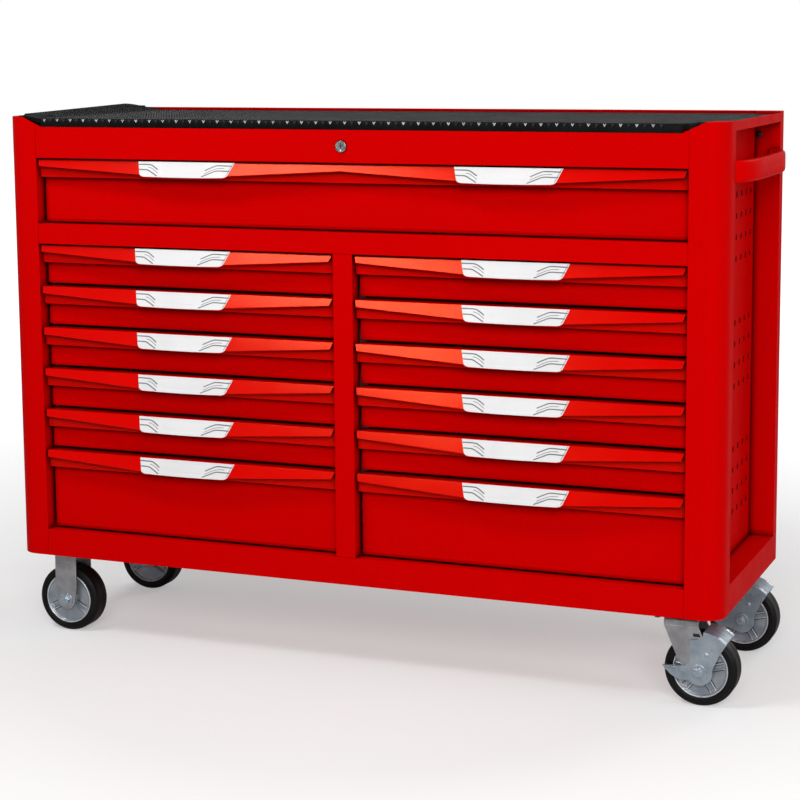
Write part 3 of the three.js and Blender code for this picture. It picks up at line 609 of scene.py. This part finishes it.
def badge(name, index, x, top, body):
    """A grip plate on the lip, with grey lines at both ends painted for the shade in its grooves, and a blank
    raised panel between.
    """
    def on_lip(u, depth, lift):
        return Vector((x + u, LIP_FRONT - LIP_SLOPE * depth, top - depth)) + LIP_NORMAL * lift

    shape = badge_outline()
    bm = bmesh.new()
    add_rings(bm, [[on_lip(u, d, -0.9) for u, d in shape], [on_lip(u, d, 0.45) for u, d in shape]])
    finish(f"badge_plate_{name}_{index}", bm, BADGE, body, 0.35, 2)
    # Painted shade: grey lines stand for the shade inside the plate's grooves.
    lines = bmesh.new()
    for label, points in GROOVES.items():
        width = 0.5 if "fine" in label else 1.0
        path = smooth_path(points)
        rings = []
        for i, (u, d) in enumerate(path):
            before, after = path[max(i - 1, 0)], path[min(i + 1, len(path) - 1)]
            du, dd = after[0] - before[0], after[1] - before[1]
            size = math.hypot(du, dd) or 1.0
            nu, nd = -dd / size * width, du / size * width
            rings.append([on_lip(u + nu, d + nd, 0.30), on_lip(u + nu, d + nd, 0.47),
                          on_lip(u, d, 0.52), on_lip(u - nu, d - nd, 0.47), on_lip(u - nu, d - nd, 0.30)])
        add_rings(lines, rings)
    finish(f"badge_lines_{name}_{index}", lines, GROOVE_SHADE, body)
    panel = bmesh.new()
    rounded = arc(6.6, -90, 90, 10, (30.0, 14.0)) + arc(6.6, 90, 270, 10, (-34.0, 14.0))
    inner = [(u * 0.985 - 0.03, 14.0 + (d - 14.0) * 0.90) for u, d in rounded]
    add_rings(panel, [[on_lip(u, d, 0.3) for u, d in rounded], [on_lip(u, d, 0.55) for u, d in rounded],
                      [on_lip(u, d, 0.8) for u, d in inner]])
    finish(f"badge_panel_{name}_{index}", panel, BADGE, body)


def drawer(name, middle, width, low, high):
    """A folded front, the open tray behind it and a sliding member on each side."""
    body = f"drawer_{name}"
    face = width / 2 - 5.0
    wall = width / 2 - 16.0
    front = 24.0
    fold = RUNNER_FRONT - 0.5
    bm = bmesh.new()
    side = [(front, high), (front, low + 8.6), (front - 0.9, low + 7.4), (front - 0.9, low), (fold, low),
            (fold, low + 1.2), (front + 0.5, low + 1.2), (front + 1.4, low + 8.4), (front + 1.4, high - 1.3),
            (fold, high - 1.3), (fold, high)]
    add_prism(bm, side, "x", middle - face, middle + face)
    for end in (-1, 1):
        x = sorted((middle + end * face, middle + end * (face - 1.2)))
        add_block(bm, x, (front + 0.6, fold - 0.5), (low + 0.8, high - 0.8))
    finish(f"drawer_front_{name}", bm, RED, body, 0.45, 2, nodes=(f"drawer_{name}",))

    tray = bmesh.new()
    bottom, top = low + 5.5, high - 13.5
    x0, x1, y0, y1 = middle - wall, middle + wall, front + 1.6, 430.0
    sheet = 1.2

    def ring(inset, z):
        return [Vector((x0 + inset, y0 + inset, z)), Vector((x1 - inset, y0 + inset, z)),
                Vector((x1 - inset, y1 - inset, z)), Vector((x0 + inset, y1 - inset, z))]

    rings = [ring(0.0, bottom), ring(0.0, top), ring(sheet * 2, top), ring(sheet * 2, top - 6.0),
             ring(sheet, top - 6.0), ring(sheet, bottom + sheet)]
    add_rings(tray, rings)
    finish(f"drawer_tray_{name}", tray, RED, body, 0.4, 2)

    rails = bmesh.new()
    lift = {"wide": 58.0}.get(name, 66.0 if name.endswith("_6") else 32.0) - 2.5 + low
    for end in (-1, 1):
        near, far = middle + end * wall, middle + end * (wall + 12.0)
        web = near + end * 1.4
        section = [(near, lift - 11), (far - end * 3, lift - 11), (far, lift - 7.5),
                   (far - end * 1.2, lift - 6.6), (far - end * 3.4, lift - 9.6), (web, lift - 9.6),
                   (web, lift + 9.6), (far - end * 3.4, lift + 9.6), (far - end * 1.2, lift + 6.6),
                   (far, lift + 7.5), (far - end * 3, lift + 11), (near, lift + 11)]
        add_rings(rails, [[Vector((x, y, z)) for x, z in section] for y in (34.5, 429.5)])
        for y in (60.0, 150.0, 260.0, 380.0):
            spot = Matrix.Translation((web, y, lift)) @ Matrix.Rotation(math.radians(90 * end), 4, "Y")
            add_lathe(rails, [(0.01, -0.2), (4.2, -0.2), (3.8, 0.9), (2.2, 1.6), (0.01, 1.7)], spot, 16)
    finish(f"drawer_slides_{name}", rails, ZINC, body, 0.3, 2)


for name, middle, width, low, high in drawer_layout():
    grips = [-WIDE_GRIP, WIDE_GRIP] if name == "wide" else [0.0]
    drawer(name, middle, width, low, high)
    pull(name, middle, width, high, grips)
    for index, grip in enumerate(grips, 1):
        badge(name, index, middle + grip, high, f"drawer_{name}")


# ------------------------------------------------------------------ lock
def lock():
    """The key lock's barrel with its raised ring and cam, and a dark block on its face painted for the shade
    in the keyway.
    """
    low, high = body_box("lock_cylinder")
    x, z = 0.0, high.z - 11.0
    place = Matrix.Translation((x, 0.0, z)) @ Matrix.Rotation(math.radians(90), 4, "X")
    bm = bmesh.new()
    barrel = [(0.01, -20.0), (9.0, -20.0), (9.0, -0.6), (10.4, -0.5), (10.4, 1.6), (9.6, 2.5),
              (7.0, 2.9), (6.6, 2.2), (6.4, 1.4), (0.01, 1.4)]
    add_lathe(bm, barrel, place, 40)
    add_block(bm, (-3.6, 3.6), (low.y + 21.0, high.y), (low.z + 1.0, z + 3.0))
    finish("lock_face", bm, CHROME, "lock", 0.2, 2, nodes=("lock_cylinder",))
    # Painted shade: a dark block on the face stands for the keyway's shade.
    slot = bmesh.new()
    add_block(slot, (x - 0.8, x + 0.8), (-1.75, -1.2), (z - 3.6, z + 3.6))
    add_block(slot, (x - 1.9, x + 1.9), (-1.72, -1.2), (z - 0.9, z + 0.9))
    finish("lock_keyway_shade", slot, DARK, "lock", 0.15, 1)


lock()


# ------------------------------------------------------------------ push handle
def add_bolt(bm, place, radius, height, washer):
    """A hexagon head on its washer, with a chamfered crown, about the place's Z axis."""
    rings = [(0.01, 0.0), (washer, 0.0), (washer, 1.2), (washer - 0.8, 1.9), (0.01, 1.9)]
    add_lathe(bm, rings, place, 36)
    corners = [(math.cos(math.radians(60 * i + 12)), math.sin(math.radians(60 * i + 12))) for i in range(6)]
    levels = ((radius, 1.8), (radius, height - 1.0), (radius * 0.86, height))
    add_rings(bm, [[place @ Vector((x * r, y * r, z)) for x, y in corners] for r, z in levels])
    add_lathe(bm, [(0.01, height - 0.2), (radius * 0.55, height - 0.2), (radius * 0.5, height + 0.5),
                   (0.01, height + 0.6)], place, 20)


def push_handle():
    """The bowed handle, with both ends turned in behind the posts, and the screw above it."""
    low, high = body_box("push_handle")
    middle = (low.z + high.z) / 2
    tall = (high.z - low.z) / 2 - 0.1
    bar = 17.6
    foot, apex = HALF - 17.0, high.x - bar / 2 - 0.15
    turn, lead = 110.0, 12.0
    path = []
    for y0, way in ((low.y, 1), (high.y, -1)):
        bend = []
        for i in range(17):
            t = i / 16
            x = (1 - t) ** 2 * foot + 2 * t * (1 - t) * apex + t * t * apex
            y = y0 + way * (2 * t * (1 - t) * lead + t * t * turn)
            bend.append((x, y))
        path += bend if way > 0 else bend[::-1]
    rings = []
    for i, (x, y) in enumerate(path):
        before, after = path[max(i - 1, 0)], path[min(i + 1, len(path) - 1)]
        run = Vector((after[0] - before[0], after[1] - before[1])).normalized()
        across = Vector((run.y, -run.x, 0.0))
        ring = []
        for k in range(32):
            angle = math.tau * (k + 0.5) / 32
            c, s = math.cos(angle), math.sin(angle)
            reach = 0.5 * bar * math.copysign(abs(c) ** 0.5, c)
            ring.append(Vector((x, y, middle + tall * math.copysign(abs(s) ** 0.36, s))) + across * reach)
        rings.append(ring)
    bm = bmesh.new()
    add_rings(bm, rings)
    finish("push_handle_bow", bm, HANDLE, "cabinet", nodes=("push_handle",))
    screw = bmesh.new()
    spot = Matrix.Translation((BAY_FACE + 7.0, POST_REAR, HEIGHT - 39.0))
    add_bolt(screw, spot @ Matrix.Rotation(math.radians(90), 4, "X"), 4.2, 4.4, 5.4)
    finish("rear_post_screw", screw, DARK, "cabinet", 0.2, 1)


push_handle()


# ------------------------------------------------------------------ casters
def outward(x, z, y, sign):
    """A frame whose Z axis points forward or back along Y, away from the wheel."""
    return Matrix.Translation((x, y, z)) @ Matrix.Rotation(math.radians(-90 * sign), 4, "X")


def wheel(node, ribs, first):
    """A tyre on a zinc hub with paired ribs; `first` is the first pair's angle in degrees."""
    low, high = body_box(node)
    x, z, y = (low.x + high.x) / 2, (low.z + high.z) / 2, (low.y + high.y) / 2
    radius, half = (high.z - low.z) / 2, (high.y - low.y) / 2
    place = along_y(x, z, y)
    side = [(48.2, half - 3.4), (49.2, half - 1.2), (51.0, half - 0.3), (57.4, half - 0.2),
            (58.6, half - 1.0), (59.0, half - 2.6), (59.9, half - 2.9), (61.6, half - 3.6),
            (63.0, half - 6.4), (radius, half - 8.6), (radius, 4.0), (radius - 0.5, 3.0)]
    profile = side + [(r, -h) for r, h in reversed(side)] + [(46.0, 6.0 - half), (46.0, half - 6.0)]
    bm = bmesh.new()
    add_lathe(bm, profile, place, 120, closed=True)
    finish(f"tyre_{node}", bm, TYRE, node, nodes=(node,))
    hub = bmesh.new()
    rim = [(6.6, half - 1.0), (14.0, half - 1.0), (15.4, half - 2.6), (16.2, half - 5.0), (18.0, half - 5.8),
           (41.0, half - 5.2), (43.4, half - 4.4), (44.4, half - 3.0), (45.2, half - 2.6), (46.0, half - 3.4),
           (46.0, half - 6.0)]
    add_lathe(hub, rim + [(r, -h) for r, h in reversed(rim)], place, 120, closed=True)
    for sign in (-1, 1):
        for k in range(ribs):
            spin = place @ Matrix.Rotation(math.radians(first + 360.0 * k / ribs), 4, "Z")
            for offset in (-5.0, 5.0):
                h = sorted((sign * (half - 6.6), sign * (half - 3.2)))
                add_block(hub, (16.4, 43.6), (offset - 0.9, offset + 0.9), h, spin)
            h = sorted((sign * (half - 6.6), sign * (half - 3.0)))
            add_block(hub, (39.6, 44.0), (-2.6, 2.6), h, spin)
    finish(f"hub_{node}", hub, HUB, node, 0.35, 2)
    # Painted shadow: thin dark strips beside each pair of hub ribs.
    rib_shadows = bmesh.new()
    # Painted highlight: bright strips along one side of the rib pairs and a bright ring at the hub's rim.
    highlight_strips = bmesh.new()
    for sign in (-1, 1):
        for k in range(ribs):
            spin = place @ Matrix.Rotation(math.radians(first + 360.0 * k / ribs), 4, "Z")
            h = sorted((sign * (half - 6.4), sign * (half - 5.0)))
            for a, b in ((-7.6, -6.3), (-3.4, -2.4), (6.3, 7.6)):
                add_block(rib_shadows, (17.0, 41.6), (a, b), h, spin)
            h = sorted((sign * (half - 3.4), sign * (half - 2.9)))
            add_block(highlight_strips, (26.0, 43.0), (-5.4, -4.6), h, spin)
            add_block(highlight_strips, (38.0, 43.0), (4.6, 5.4), h, spin)
    finish(f"hub_rib_shadows_{node}", rib_shadows, DARK, node)
    # Painted highlight: the bright ring where the hub's rim meets the tyre.
    for sign in (-1, 1):
        ring = [(46.1, half - 4.4), (46.3, half - 2.2), (47.2, half - 1.4), (48.0, half - 2.2),
                (48.0, half - 4.4)]
        add_lathe(highlight_strips, [(r, sign * h) for r, h in ring], place, 120, closed=True)
    finish(f"hub_highlight_strip_{node}", highlight_strips, HIGHLIGHT_STRIP, node)


def mounting_plate(bm, x, y, top):
    """The round-cornered plate that a caster is bolted on by."""
    outline = []
    for cx, cy, start in ((1, 1, 0), (-1, 1, 90), (-1, -1, 180), (1, -1, 270)):
        outline += arc(8.0, start, start + 90, 5, (x + cx * 41.5, y + cy * 33.5))
    add_prism(bm, outline, "z", top - 2.9, top)


def plate_bolts(name, x, y, top):
    """Four bolt heads under a mounting plate."""
    bolts = bmesh.new()
    for sx in (-40, 40):
        for sy in (-32, 32):
            place = Matrix.Translation((x + sx, y + sy, top - 2.9)) @ Matrix.Rotation(math.pi, 4, "X")
            add_bolt(bolts, place, 6.0, 5.4, 7.4)
    finish(name, bolts, DARK, "cabinet", 0.2, 1)


def axle_bolt(name, x, z, y, plane, body):
    """The wheel's bolt, with a head and washer `plane` away from the middle on each side."""
    bolts = bmesh.new()
    for sign in (-1, 1):
        add_bolt(bolts, outward(x, z, y + sign * plane, sign), 9.2, 7.0, 13.6)
    add_lathe(bolts, [(0.01, -plane), (5.6, -plane), (5.6, plane), (0.01, plane)], along_y(x, z, y), 24)
    finish(name, bolts, BLUE_ZINC, body, 0.3, 2)


def fork_crown(y, top, drop):
    """The bent crown of a fork, as a section across the wheel."""
    section = [(-28.8, drop), (-28.8, 5.0), (-27.4, 1.6), (-24.5, 0.0), (24.5, 0.0), (27.4, 1.6),
               (28.8, 5.0), (28.8, drop), (26.2, drop), (26.2, 6.0), (24.6, 3.4), (-24.6, 3.4),
               (-26.2, 6.0), (-26.2, drop)]
    return [(y + a, top - b) for a, b in section]


def fixed_caster(end):
    """The left casters: plate and fork in one bracket."""
    node = f"fixed_fork_{end}_left"
    top = body_box(node)[1].z - 0.1
    low, high = body_box(f"wheel_{end}_left")
    x, y, axle = (low.x + high.x) / 2, (low.y + high.y) / 2, (low.z + high.z) / 2
    bm = bmesh.new()
    mounting_plate(bm, x, y, top)
    add_prism(bm, fork_crown(y, top - 2.8, 22.0), "x", x - 22.8, x + 22.8)
    for sign in (-1, 1):
        span = sorted((y + sign * 26.2, y + sign * 29.0))
        leg = [(x - 22.8, top - 24.0), (x - 22.8, axle + 24.0)] + arc(18.6, 172, 368, 24, (x, axle))
        leg += [(x + 22.8, axle + 24.0), (x + 22.8, top - 24.0)]
        add_prism(bm, leg, "y", *span)
    finish(f"fixed_bracket_{end}_left", bm, ZINC, "cabinet", 0.7, 3, nodes=(node,))
    axle_bolt(f"fixed_axle_{end}_left", x, axle, y, 29.1, "cabinet")
    plate_bolts(f"fixed_bolts_{end}_left", x, y, top)


def swivel_caster(end):
    """The right casters: a fixed plate with its race, and the raked fork that turns under it."""
    fork = f"swivel_fork_{end}_right"
    low, high = body_box(f"swivel_plate_{end}_right")
    wheel_low, wheel_high = body_box(f"wheel_{end}_right")
    x, y, top = (low.x + high.x) / 2, (low.y + high.y) / 2, high.z - 0.1
    axle_x, axle = (wheel_low.x + wheel_high.x) / 2, (wheel_low.z + wheel_high.z) / 2
    plate = bmesh.new()
    mounting_plate(plate, x, y, top)
    race = [(0.01, 0.0), (26.0, 0.0), (29.5, -1.2), (30.8, -3.2), (30.2, -5.0), (27.5, -5.7), (0.01, -5.7)]
    add_lathe(plate, race, Matrix.Translation((x, y, top - 3.1)), 72)
    finish(f"swivel_top_{end}_right", plate, ZINC, "cabinet", 0.6, 3,
           nodes=(f"swivel_plate_{end}_right",))
    plate_bolts(f"swivel_bolts_{end}_right", x, y, top)

    body = f"swivel_{end}_right"
    crown = body_box(fork)[1].z - 0.1
    bm = bmesh.new()
    add_lathe(bm, [(0.01, 0.0), (27.0, 0.0), (30.2, -1.2), (30.8, -2.8), (30.8, -5.0), (0.01, -5.0)],
              Matrix.Translation((x, y, crown)), 72)
    add_prism(bm, fork_crown(y, crown - 0.2, 14.0), "x", x - 30.0, x + 30.0)
    for sign in (-1, 1):
        span = sorted((y + sign * 26.2, y + sign * 29.0))
        leg = [(x - 29.8, crown - 12.0), (x - 28.0, crown - 17.0), (x - 18.6, crown - 39.0),
               (x - 7.0, crown - 66.0), (x + 5.0, crown - 84.0)]
        leg += arc(17.0, 200, 368, 22, (axle_x, axle))
        leg += [(x + 46.0, axle + 24.0), (x + 38.0, axle + 60.0), (x + 29.8, crown - 12.0)]
        add_prism(bm, leg, "y", *span)
        tab = sorted((y + sign * 28.6, y + sign * 29.7))
        slot = [(x + 21.0, axle + 60.0), (x + 35.0, axle + 60.0), (x + 37.0, axle + 57.0),
                (x + 21.0, axle + 57.0)]
        add_prism(bm, slot, "y", *tab)
    finish(f"swivel_yoke_{end}_right", bm, ZINC, body, 0.8, 3, nodes=(fork,))
    # Painted shade: dark patches above the tabs stand for the slot's shade.
    slot_shade = bmesh.new()
    for sign in (-1, 1):
        span = sorted((y + sign * 28.6, y + sign * 29.15))
        add_prism(slot_shade, [(x + 21.0, axle + 60.2), (x + 34.0, axle + 60.2), (x + 32.0, axle + 66.0),
                           (x + 21.0, axle + 66.0)], "y", *span)
    finish(f"swivel_slot_shade_{end}_right", slot_shade, DARK, body, 0.1, 1)
    axle_bolt(f"swivel_axle_{end}_right", axle_x, axle, y, 32.1, body)
    side_lock(end, axle_x, axle, y)


def side_lock(end, x, z, y):
    """The rocker: a broad cheek each side, a shoe bent over the tyre and a flanged pedal."""
    lever = bmesh.new()
    for sign in (-1, 1):
        span = sorted((y + sign * 29.9, y + sign * 31.9))
        cheek = arc(70.6, 48, 84, 12)
        cheek += [(6.0, 60.0), (-2.0, 56.5), (-15.0, 55.0), (-16.0, 53.0), (-16.0, 15.0), (-26.0, 8.3),
                  (-61.6, 7.8), (-60.4, 1.5), (-54.0, -3.5), (-49.0, -8.5), (-40.0, -13.6), (-31.0, -16.4)]
        cheek += arc(23.6, 222, 372, 22) + [(26.5, 14.0), (36.0, 34.0)]
        add_prism(lever, [(x + a, z + b) for a, b in cheek], "y", *span)
        flange = sorted((y + sign * 30.2, y + sign * 38.4))
        pedal = ((-61.4, 7.8), (-33.0, 8.0), (-33.0, 6.4), (-61.4, 6.0))
        add_prism(lever, [(x + a, z + b) for a, b in pedal], "y", *flange)
        add_lathe(lever, [(0.01, -0.3), (4.4, -0.3), (4.2, 0.9), (2.8, 1.9), (0.01, 2.2)],
                  outward(x + 13.0, z + 31.0, y + sign * 31.7, sign), 24)
    rings = []
    for i in range(15):
        angle = math.radians(48.2 + 35.6 * i / 14)
        c, s = math.cos(angle), math.sin(angle)
        section = ((68.2, -31.8), (70.0, -31.9), (71.0, -30.6), (70.4, -26.0), (70.9, -24.5), (70.9, 24.5),
                   (70.4, 26.0), (71.0, 30.6), (70.0, 31.9), (68.2, 31.8), (68.2, 24.0), (68.2, -24.0))
        rings.append([Vector((x + r * c, y + a, z + r * s)) for r, a in section])
    add_rings(lever, rings)
    # Painted highlight: bright strips on the shoe's crease lines stand for the light they catch.
    crease_highlights = bmesh.new()
    for sign in (-1, 1):
        for a in (25.2, 28.2):
            rings = []
            for i in range(7):
                angle = math.radians(49.0 + 14.0 * i / 6)
                rings.append([Vector((x + r * math.cos(angle), y + sign * b, z + r * math.sin(angle)))
                              for r, b in ((70.3, a), (71.2, a + 0.4), (71.2, a + 1.1), (70.3, a + 1.5))])
            add_rings(crease_highlights, rings)
    finish(f"side_lock_crease_highlights_{end}_right", crease_highlights, HIGHLIGHT_STRIP, f"brake_{end}_right")
    finish(f"side_lock_{end}_right", lever, BLUE_ZINC, f"brake_{end}_right", 0.5, 3,
           nodes=(f"brake_lever_{end}_right",))


for end in ("front", "rear"):
    wheel(f"wheel_{end}_left", 3, -90.0)
    wheel(f"wheel_{end}_right", 5, -15.0)
    fixed_caster(end)
    swivel_caster(end)


# ------------------------------------------------------------------ stage, light and camera
def floor_finish():
    """The pale floor, brightening with distance until it meets the studio's white surround."""
    material = surface("floor_pale", (0.56, 0.56, 0.56), (0.54, 0.54, 0.54), (0.7, 0.85), grain=60.0,
                       bump=0.01, patch=0.8, specular=0.1)
    kit = Nodes(material.node_tree)
    coords = kit.add("ShaderNodeTexCoord").outputs["Object"]
    away = kit.add("ShaderNodeVectorMath", i0=coords)
    away.operation = "LENGTH"
    shader = material.node_tree.nodes["Principled BSDF"]
    kit.set(shader, "Emission Color", rgba((1.0, 1.0, 1.0)))
    far = kit.remap(away.outputs["Value"], 0.7, 3.5, 0.34, 1.0)
    seen = kit.add("ShaderNodeLightPath").outputs["Is Camera Ray"]
    kit.set(shader, "Emission Strength", kit.math("MULTIPLY", far, seen))
    return material


def stage_floor():
    """A wide plain floor under the wheels, kept out of the part."""
    bm = bmesh.new()
    bmesh.ops.create_grid(bm, x_segments=8, y_segments=8, size=14.0)
    mesh = bpy.data.meshes.new("studio_floor")
    bm.to_mesh(mesh)
    bm.free()
    floor = bpy.data.objects.new("studio_floor", mesh)
    SCENE.collection.objects.link(floor)
    mesh.materials.append(floor_finish())


stage_floor()

world = bpy.data.worlds.new("studio")
SCENE.world = world
world.use_nodes = True
sky = Nodes(world.node_tree)
heading = sky.add("ShaderNodeTexCoord").outputs["Generated"]
rise = sky.add("ShaderNodeSeparateXYZ", Vector=heading).outputs["Z"]
seen = sky.add("ShaderNodeLightPath").outputs["Is Camera Ray"]
glow = sky.remap(rise, 0.0, 0.5, 0.56, 0.24)
sky.set(world.node_tree.nodes["Background"], "Color", rgba((1.0, 1.0, 1.0)))
sky.set(world.node_tree.nodes["Background"], "Strength", sky.math("MAXIMUM", glow, seen))


def softbox(name, place, aim, size, power):
    """A rectangular lamp turned towards a point, in metres and watts."""
    light = bpy.data.lights.new(name, "AREA")
    light.shape = "RECTANGLE"
    light.size, light.size_y = size
    light.energy = power
    lamp = bpy.data.objects.new(name, light)
    SCENE.collection.objects.link(lamp)
    lamp.location = place
    lamp.rotation_euler = (Vector(aim) - Vector(place)).to_track_quat("-Z", "Y").to_euler()


softbox("overhead", (-1.05, -1.6, 2.75), (0.0, -0.2, 0.6), (0.9, 0.5), 34.0)
softbox("front", (1.9, -4.4, 2.6), (0.1, 0.0, 0.5), (2.6, 1.6), 175.0)
softbox("behind", (3.0, 4.2, 2.9), (0.2, 0.2, 0.4), (2.0, 1.4), 60.0)
softbox("right", (4.6, -0.4, 1.9), (0.6, 0.1, 0.5), (1.6, 1.4), 46.0)

YAW, PITCH, ROLL = math.radians(22.01), math.radians(7.94), math.radians(-0.46)
eye = bpy.data.cameras.new("eye")
eye.lens = 90.76
eye.sensor_width = 36.0
eye.shift_y = -0.1
eye.clip_end = 100.0
camera = bpy.data.objects.new("eye", eye)
SCENE.collection.objects.link(camera)
turn = Matrix.Rotation(YAW, 4, "Z") @ Matrix.Rotation(math.pi / 2 - PITCH, 4, "X")
turn = turn @ Matrix.Rotation(ROLL, 4, "Z")
camera.matrix_world = Matrix.Translation(PLACE @ Vector((1411.6, -3223.7, 969.7))) @ turn
SCENE.camera = camera
SCENE.view_settings.view_transform = "Standard"
